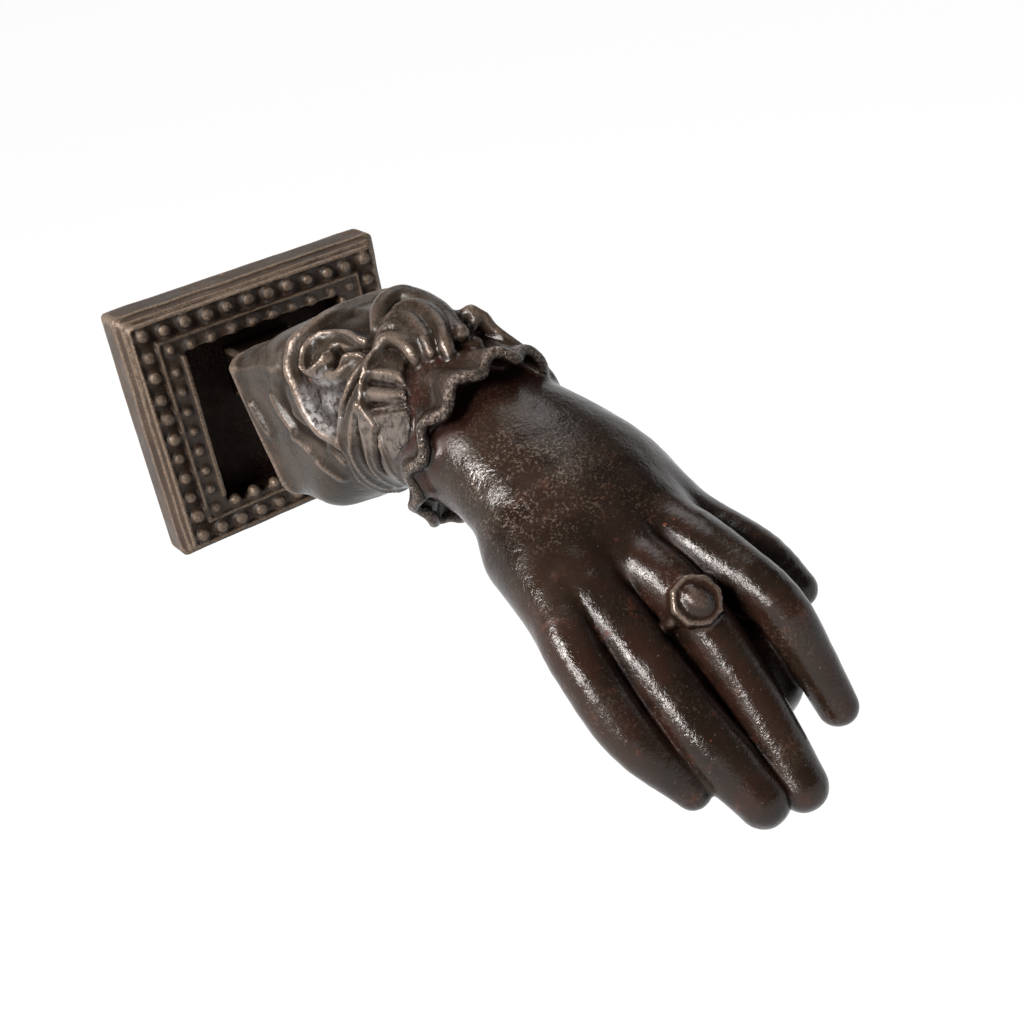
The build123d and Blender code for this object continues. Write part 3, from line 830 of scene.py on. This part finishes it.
def make_plate():
    """Slab with beads, recess, ears and bores."""
    box = (plate_low - 2, plate_high + 2)
    clay = Clay(*box, CELL)
    clay.add(*box, plate_shape)
    for outer, inner, deep, blend in CHANNELS:
        clay.carve(*box, frame_shape(outer, inner, deep), blend)
    clay.carve(*box, block_shape((0, -PLATE_DEEP, -0.9), RECESS_HALF, 0.8), 0.6)
    for inset, size, melt in BEAD_ROWS:
        wide, high = PLATE_HALF[0] - inset, PLATE_HALF[1] - inset
        across, upward = round(2 * wide / BEAD_PITCH), round(2 * high / BEAD_PITCH)
        spots = [(wide * (2 * n / across - 1), s * high) for n in range(across + 1) for s in (-1, 1)]
        spots += [(s * wide, high * (2 * n / upward - 1)) for n in range(1, upward) for s in (-1, 1)]
        for x, z in spots:
            r = size * rng.uniform(0.86, 1.06)
            centre = (x + rng.uniform(-0.2, 0.2), BEAD_AT + rng.uniform(-0.15, 0.15),
                      z + rng.uniform(-0.2, 0.2))
            clay.egg(centre, (r, BEAD_TALL, r), melt)
    ears = clay.blank()
    block = block_shape((0, (hinge[1] - 2) / 2, hinge[2]), (EAR_OUT, -(hinge[1] + 2) / 2, EYE_ROUND), 0.4)
    ears.add(*box, block)
    ears.add(*box, rod_shape(hinge, EYE_ROUND, EAR_OUT, 0))
    ears.carve(*box, block_shape((0, hinge[1] - 6, hinge[2]), (EAR_IN, 19.0, 9.0), 0.2))
    clay.field = smooth_min(clay.field, ears.field, 0.5)
    clay.carve(*box, rod_shape(hinge, PIN_BORE, 20, 0))
    clay.carve(*box, rod_shape((0, 0, hinge[2]), STUD_BORE, 11, 1))
    piece = mesh_object("plate_casting", *surface(clay), "plate", "plate_iron", "back_plate")
    finish_casting(piece, clay, PLATE_LUMPS, 31, (plate_low, plate_high))
    return piece


# Turned pieces
SIDES = 48
STUD_ROUND, THREAD_DEEP, PITCH = 3.98, 0.6, 1.25
THREAD_FROM, THREAD_ROWS, ROW_STEP = 2.5, 123, 0.25
PIN_END = ((8.9, 2.5), (8.95, 3.4), (9.4, 3.4), (10.1, 2.9), (10.4, 1.6))  # place and radius to one head


def lathe(name, rows, slot, replaced, place, thread=0.0):
    """Turned piece from rows of place on its axis and radius; place() maps along, u and v to a point."""
    verts = []
    for along, radius in rows:
        for n in range(SIDES):
            turn = math.tau * n / SIDES
            phase = (along / PITCH - turn / math.tau) % 1
            cut = thread * (1 - abs(2 * phase - 1)) if radius == STUD_ROUND else 0
            verts.append(place(along, (radius - cut) * math.cos(turn), (radius - cut) * math.sin(turn)))
    pairs = [(n, (n + 1) % SIDES) for n in range(SIDES)]
    faces = [(k + a, k + b, k + b + SIDES, k + a + SIDES)
             for k in range(0, (len(rows) - 1) * SIDES, SIDES) for a, b in pairs]
    first = len(verts)
    last_ring = first - SIDES
    verts += [place(rows[0][0], 0, 0), place(rows[-1][0], 0, 0)]
    for a, b in pairs:
        faces += [(b, a, first), (last_ring + a, last_ring + b, first + 1)]
    piece = mesh_object(name, verts, faces, "plate", slot, replaced)
    for attribute, _ in REACHES:
        piece.data.attributes.new(attribute, "FLOAT", "POINT")
    return piece


def make_pin():
    rows = [(-along, radius) for along, radius in PIN_END[::-1]] + list(PIN_END)
    return lathe("pin", rows, "pin_steel", "hinge_pin", lambda a, u, v: (a, hinge[1] + u, hinge[2] + v))


def make_stud():
    rows = [(-10.9, 3.0), (-10.6, 3.28), (2.1, 3.28), (2.3, 3.5)]
    rows += [(THREAD_FROM + ROW_STEP * n, STUD_ROUND) for n in range(THREAD_ROWS)]
    rows += [(33.4, 3.6), (33.9, 3.1)]
    return lathe("stud", rows, "stud_steel", "fixing_stud", lambda a, u, v: (u, a, hinge[2] + v),
                 thread=THREAD_DEEP)


# Materials; masks are pairs of metres, from where each is 0 to where it is 1
CLOTH_Y, WORN_Y, FRILL_Y, FINGERS_Y = (-0.094, -0.088), (-0.112, -0.106), (-0.116, -0.109), (-0.128, -0.14)
# Masks of the plate's recess, where shade is painted.
RECESS_Y, BACK_Y, RECESS_SIDE = (-0.0098, -0.0075), (-0.001, -0.0016), (0.0216, 0.0204)
RUST, RUST_SPOT, STEEL_RUST = (0.075, 0.02, 0.01), (0.42, 0.13, 0.06), (0.1, 0.035, 0.018)
# The first colour here is painted shade in the frill's hollows.
UNDER_FRILL_SHADE, STAIN, FLECK = (0.03, 0.0115, 0.008), (0.028, 0.0105, 0.007), (0.3, 0.25, 0.21)
# Darkening in hollows; on the plate it also carries the painted shade of the recess.
HOLLOW_DARKENING = (0.5, 0.38, 0.34)  # shares of the dark colour left in hollows
RUBBED_AT = (-6.0, -121.0, 14.0)
LOBE_AT = (6.5, -91.5, 31.0)
# The first and the third spot are painted highlights, on a hollow of the sleeve and on the sash's folds.
# Station, turn and lift of each spot, then its far and close distance, colour and share
PALE_AND_HIGHLIGHT_SPOTS = (
    ((71.0, 163, -1.0), 8.0, 4.5, (0.3, 0.29, 0.29), 0.9),
    ((90.5, 164, 0.5), 6.0, 3.5, (0.17, 0.14, 0.12), 0.6),
    ((83.6, 172, 0.5), 5.0, 2.5, (0.2, 0.172, 0.155), 0.6),
    ((86.0, 142, 0.5), 5.0, 3.0, (0.18, 0.152, 0.135), 0.55),
)
HAND_IRON = dict(
    dark=(0.014, 0.0078, 0.005), mid=(0.029, 0.017, 0.011), worn=(0.2, 0.15, 0.118), rubbed=0.55,
    wear_from=0.18, wear_width=0.34, shine=0.18, gloss=0.4, pebbles=0.14, rust_amount=0.8, dust=0.3,
    cloth=((0.019, 0.0125, 0.0082), (0.048, 0.035, 0.025)))
# The plate's last colour is painted shade for its recess.
PLATE_IRON = dict(
    dark=(0.024, 0.013, 0.007), mid=(0.056, 0.034, 0.0205), worn=(0.22, 0.16, 0.115), rubbed=0.3,
    wear_from=0.13, wear_width=0.16, shine=0.46, gloss=0.45, pebbles=0.22, rust_amount=0.5, dust=1.0,
    painted_recess_shade=(0.006, 0.0035, 0.0025))


class Paint:
    """Builds a procedural material from small steps; each step returns an output socket."""

    def __init__(self, name):
        self.material = bpy.data.materials.new(name)
        self.material.use_nodes = True
        self.tree = self.material.node_tree
        self.shader = self.tree.nodes["Principled BSDF"]
        self.place = self.new("ShaderNodeTexCoord").outputs["Object"]

    def new(self, kind, inputs=None, **settings):
        node = self.tree.nodes.new(kind)
        for key, value in settings.items():
            setattr(node, key, value)
        for key, value in (inputs or {}).items():
            self.feed(node.inputs[key], value)
        return node

    def feed(self, socket, value):
        """Links an output socket or sets a constant."""
        if isinstance(value, bpy.types.NodeSocket):
            self.tree.links.new(value, socket)
        elif socket.type == "RGBA":
            socket.default_value = (*value, 1)
        else:
            socket.default_value = value

    def set(self, name, value):
        self.feed(self.shader.inputs[name], value)

    def noise(self, size, detail, rough, warp=0.0):
        return self.new("ShaderNodeTexNoise", {
            "Vector": self.place, "Scale": 1 / (size * MM), "Detail": detail, "Roughness": rough,
            "Distortion": warp}).outputs["Fac"]

    def cells(self, size):
        inputs = {"Vector": self.place, "Scale": 1 / (size * MM)}
        return self.new("ShaderNodeTexVoronoi", inputs).outputs["Distance"]

    def axes(self):
        return list(self.new("ShaderNodeSeparateXYZ", {"Vector": self.place}).outputs)

    def direct(self):
        """1 for camera, glossy and transmission rays, 0 for all others."""
        seen = self.new("ShaderNodeLightPath").outputs
        passed = self.math("MAXIMUM", seen["Is Glossy Ray"], seen["Is Transmission Ray"])
        return self.math("MAXIMUM", seen["Is Camera Ray"], passed)

    def ramp(self, value, low, high, out_low=0.0, out_high=1.0):
        return self.new("ShaderNodeMapRange", {
            "Value": value, "From Min": low, "From Max": high, "To Min": out_low, "To Max": out_high},
            interpolation_type="SMOOTHSTEP").outputs["Result"]

    def math(self, operation, a, b=0.0):
        return self.new("ShaderNodeMath", {0: a, 1: b}, operation=operation).outputs[0]

    def times(self, a, b):
        return self.math("MULTIPLY", a, b)

    def mix(self, share, a, b):
        node = self.new("ShaderNodeMix", {"Factor": share}, data_type="RGBA")
        for socket, colour in zip([s for s in node.inputs if s.type == "RGBA"], (a, b)):
            self.feed(socket, colour)
        return [s for s in node.outputs if s.type == "RGBA"][0]

    def near(self, spot, far, close):
        """1 within the close distance of a spot, 0 beyond the far one, in millimetres."""
        inputs = {0: self.place, 1: [c * MM for c in spot]}
        away = self.new("ShaderNodeVectorMath", inputs, operation="DISTANCE").outputs["Value"]
        return self.ramp(away, far * MM, close * MM)

    def attribute(self, name):
        return self.new("ShaderNodeAttribute", attribute_name=name).outputs["Fac"]

    def bump(self, height, distance, strength, normal=None):
        inputs = {"Strength": strength, "Distance": distance * MM, "Height": height}
        if normal is not None:
            inputs["Normal"] = normal
        return self.new("ShaderNodeBump", inputs).outputs["Normal"]


def iron(name, dark, mid, worn, rubbed, wear_from, wear_width, shine, gloss, pebbles, rust_amount, dust,
         cloth=None, painted_recess_shade=None):
    """Aged cast iron: dark skin, paler rubbed grains, bright worn edges, rust and fine pebbling, darker
    hollows, painted shade in the plate's recess and the frill's hollows, and painted highlights on the
    sleeve.
    """
    p = Paint(name)
    edge = p.attribute("edge")
    form = p.attribute("form")
    x, y, z = p.axes()
    broad = p.noise(16, 3, 0.55)
    patch = p.noise(6, 5, 0.65)
    grain = p.noise(0.55, 3, 0.7)
    pebble = p.noise(0.9, 3, 0.55, warp=0.8)
    colour = p.mix(p.ramp(broad, 0.35, 0.65), dark, mid)
    colour = p.mix(p.ramp(patch, 0.42, 0.75, 0, 0.5), colour, mid)
    grains_at = p.ramp(p.noise(11, 5, 0.7), 0.47, 0.6)
    rust = p.times(p.ramp(p.noise(5.5, 6, 0.7), 0.56, 0.7), p.ramp(p.noise(1.2, 3, 0.6), 0.35, 0.6))
    worn_here = 1.0
    if cloth:
        on_cloth = p.ramp(y, *CLOTH_Y)
        colour = p.mix(on_cloth, colour, p.mix(p.ramp(patch, 0.3, 0.7), *cloth))
        worn_here = p.math("MAXIMUM", p.ramp(y, *WORN_Y), p.near(RING_AT, 11.5, 9.5))
        worn_here = p.math("MAXIMUM", worn_here, 0.12)
        rubbed_patch = p.times(p.near(RUBBED_AT, 17, 8), p.ramp(p.noise(4.5, 5, 0.75), 0.4, 0.56))
        grains_at = p.math("MAXIMUM", p.times(grains_at, 0.35), rubbed_patch)
        fingers = p.ramp(y, *FINGERS_Y)
        rust = p.times(rust, p.math("ADD", 0.45, p.times(fingers, 0.75)))
        # Pale spots on the sleeve; the first and the third are painted highlights.
        for spot, far, close, tone, share in PALE_AND_HIGHLIGHT_SPOTS:
            pale = p.ramp(p.noise(1.6, 4, 0.7), 0.36, 0.56)
            pale = p.times(p.near(sleeve.point(*spot), far, close), pale)
            colour = p.mix(p.times(pale, share), colour, tone)
    hollow = p.ramp(form, -0.02, -0.22)
    # Painted shade: the plate's recess is darkened by its position and counted as a hollow, in place of the
    # shade that falls inside it.
    if painted_recess_shade:
        across, upward = [p.ramp(p.math("ABSOLUTE", c), *RECESS_SIDE) for c in (x, z)]
        inside = p.times(p.times(p.ramp(y, *RECESS_Y), p.ramp(y, *BACK_Y)), p.times(across, upward))
        colour = p.mix(inside, colour, painted_recess_shade)
        hollow = p.math("MAXIMUM", hollow, inside)
    # Darker in hollows; on the plate this also carries the painted shade of the recess.
    colour = p.mix(p.times(hollow, 0.8), colour, [c * left for c, left in zip(dark, HOLLOW_DARKENING)])
    if cloth:
        on_frill = p.times(p.ramp(y, *FRILL_Y), p.ramp(y, *CLOTH_Y[::-1]))
        # Painted shade: the frill's hollows are darkened to a dark red-brown.
        under = p.times(p.ramp(form, 0.02, -0.1), on_frill)
        colour = p.mix(under, colour, UNDER_FRILL_SHADE)
        stain = p.times(p.ramp(p.noise(8, 4, 0.6), 0.46, 0.6), p.times(fingers, 0.6))
        colour = p.mix(stain, colour, STAIN)
    grains = p.times(p.ramp(grain, 0.52, 0.62), grains_at)
    colour = p.mix(p.times(grains, rubbed), colour, worn)
    colour = p.mix(p.times(rust, rust_amount), colour, RUST)
    rust_spot = p.ramp(p.noise(2.6, 2, 0.4), 0.765, 0.79)
    colour = p.mix(p.times(rust_spot, 0.8 * dust), colour, RUST_SPOT)
    fleck = p.times(p.ramp(p.noise(0.42, 1, 0.4), 0.74, 0.79), 0.35)
    colour = p.mix(fleck, colour, FLECK)
    wear = p.times(p.ramp(edge, wear_from, wear_from + wear_width), p.ramp(grain, 0.32, 0.6, 0.2, 1.0))
    wear = p.times(wear, worn_here)
    if cloth:
        off_lobe = p.math("SUBTRACT", 1.0, p.near(LOBE_AT, 13.0, 9.0))
        rim = p.times(p.times(on_frill, off_lobe), p.ramp(edge, 0.02, 0.15))
        wear = p.times(wear, p.math("SUBTRACT", 1.0, p.times(rim, p.ramp(grain, 0.6, 0.46, 0, 0.85))))
    colour = p.mix(wear, colour, worn)
    p.set("Base Color", colour)
    p.set("Metallic", p.math("ADD", 0.05, p.times(wear, 0.4)))
    rough = p.ramp(patch, 0.3, 0.7, shine - 0.06, shine + 0.1)
    rough = p.math("ADD", rough, p.times(rust, 0.25))
    rough = p.math("ADD", rough, p.times(hollow, 0.2))
    if cloth:
        rough = p.math("ADD", rough, p.times(on_cloth, 0.1))
        gloss = p.math("SUBTRACT", gloss, p.times(on_cloth, 0.1))
    p.set("Roughness", rough)
    gloss = p.times(gloss, p.math("SUBTRACT", 1.0, p.times(hollow, 0.65)))
    p.set("Specular IOR Level", gloss)
    skin = p.bump(pebble, pebbles, 0.6)
    skin = p.bump(grain, 0.07, 0.6, skin)
    skin = p.bump(p.ramp(p.cells(3.2), 0.0, 0.16), 0.06, 0.5, skin)
    skin = p.bump(patch, 0.35, 0.35, skin)
    if cloth:
        skin = p.bump(p.times(rim, p.noise(0.8, 3, 0.6, warp=1.0)), 0.6, 0.8, skin)
    p.set("Normal", skin)
    return p.material


def steel(name, dark, worn):
    """Dark steel with rust in patches."""
    p = Paint(name)
    patch = p.noise(3, 5, 0.65)
    colour = p.mix(p.ramp(patch, 0.4, 0.65), dark, worn)
    colour = p.mix(p.ramp(p.noise(1.5, 5, 0.7), 0.55, 0.7, 0, 0.7), colour, STEEL_RUST)
    p.set("Base Color", colour)
    p.shader.inputs["Metallic"].default_value = 0.8
    p.set("Roughness", p.ramp(patch, 0.3, 0.7, 0.4, 0.6))
    p.set("Normal", p.bump(p.noise(0.6, 4, 0.6), 0.08, 0.5))
    return p.material


# Stage
FLOOR_HALF, FLOOR_GREY, FLOOR_GLOW = 3.0, (0.11, 0.11, 0.11), 0.97
DIM, BACKDROP, HORIZON = 0.083, 0.89, (0.43, 0.28)  # heights where the backdrop is 0 and full
WINDOW_TINT = (1.0, 0.965, 0.94)


def make_floor():
    """Grey ground that direct rays see as almost white."""
    mesh = bpy.data.meshes.new("floor")
    h, z = FLOOR_HALF, FLOOR * MM - 0.0002
    mesh.from_pydata([(-h, -h, z), (h, -h, z), (h, h, z), (-h, h, z)], [], [(0, 1, 2, 3)])
    floor = bpy.data.objects.new("floor", mesh)
    bpy.context.scene.collection.objects.link(floor)
    p = Paint("floor_paint")
    p.set("Base Color", FLOOR_GREY)
    p.shader.inputs["Roughness"].default_value = 0.9
    p.shader.inputs["Specular IOR Level"].default_value = 0.0
    p.shader.inputs["Emission Color"].default_value = (1, 1, 1, 1)
    p.set("Emission Strength", p.times(p.direct(), FLOOR_GLOW))
    mesh.materials.append(p.material)


def make_light(name, place, aim, size, power, tint=(1, 1, 1)):
    data = bpy.data.lights.new(name, "AREA")
    data.shape = "RECTANGLE"
    data.size, data.size_y = size
    data.energy = power
    data.color = tint
    lamp = bpy.data.objects.new(name, data)
    lamp.location = place
    lamp.rotation_euler = (Vector(aim) - Vector(place)).to_track_quat("-Z", "Y").to_euler()
    bpy.context.scene.collection.objects.link(lamp)


class Sky(Paint):
    """Node steps in the world's tree; place is the direction."""

    def __init__(self, world):
        world.use_nodes = True
        self.tree = world.node_tree
        self.shader = self.tree.nodes["Background"]
        self.place = self.new("ShaderNodeTexCoord").outputs["Generated"]


def make_world():
    """Dim studio with a pale backdrop round the horizon for direct rays."""
    world = bpy.data.worlds.new("studio")
    bpy.context.scene.world = world
    p = Sky(world)
    backdrop = p.times(p.direct(), p.ramp(p.axes()[2], *HORIZON))
    p.shader.inputs["Color"].default_value = (1, 1, 1, 1)
    p.set("Strength", p.math("ADD", DIM, p.times(backdrop, BACKDROP)))


# Camera of the photograph, fitted to the plate's corners and beads
CAMERA_AT = (-0.11244, -0.28582, 0.11334)
CAMERA_TURN = (61.769, 8.807, -36.445)
CAMERA_LENS, SENSOR = 45.7, 36


def make_camera():
    data = bpy.data.cameras.new("camera")
    data.lens = CAMERA_LENS
    data.sensor_width = SENSOR
    camera = bpy.data.objects.new("camera", data)
    camera.location = CAMERA_AT
    camera.rotation_euler = [math.radians(a) for a in CAMERA_TURN]
    bpy.context.scene.collection.objects.link(camera)
    bpy.context.scene.camera = camera
    data.clip_start = 0.01


arm = make_arm()
plate = make_plate()
pin = make_pin()
stud = make_stud()
arm.data.materials.append(iron("hand_iron", **HAND_IRON))
plate.data.materials.append(iron("plate_iron", **PLATE_IRON))
pin.data.materials.append(steel("pin_steel", (0.03, 0.025, 0.022), (0.12, 0.1, 0.09)))
stud.data.materials.append(steel("stud_steel", (0.06, 0.05, 0.045), (0.2, 0.17, 0.15)))
make_floor()
make_world()
make_light("window_left", (-0.59, -0.03, 0.46), (0, -0.09, 0.0), (0.19, 0.19), 6.2, WINDOW_TINT)
make_light("window_right", (-0.6, -0.3, 0.34), (0, -0.12, 0.0), (0.17, 0.17), 4.1, WINDOW_TINT)
make_light("overhead", (0.25, 0.15, 0.62), (0, -0.09, 0.0), (0.4, 0.4), 1.1)
make_camera()
bpy.context.scene.view_settings.view_transform = "Standard"
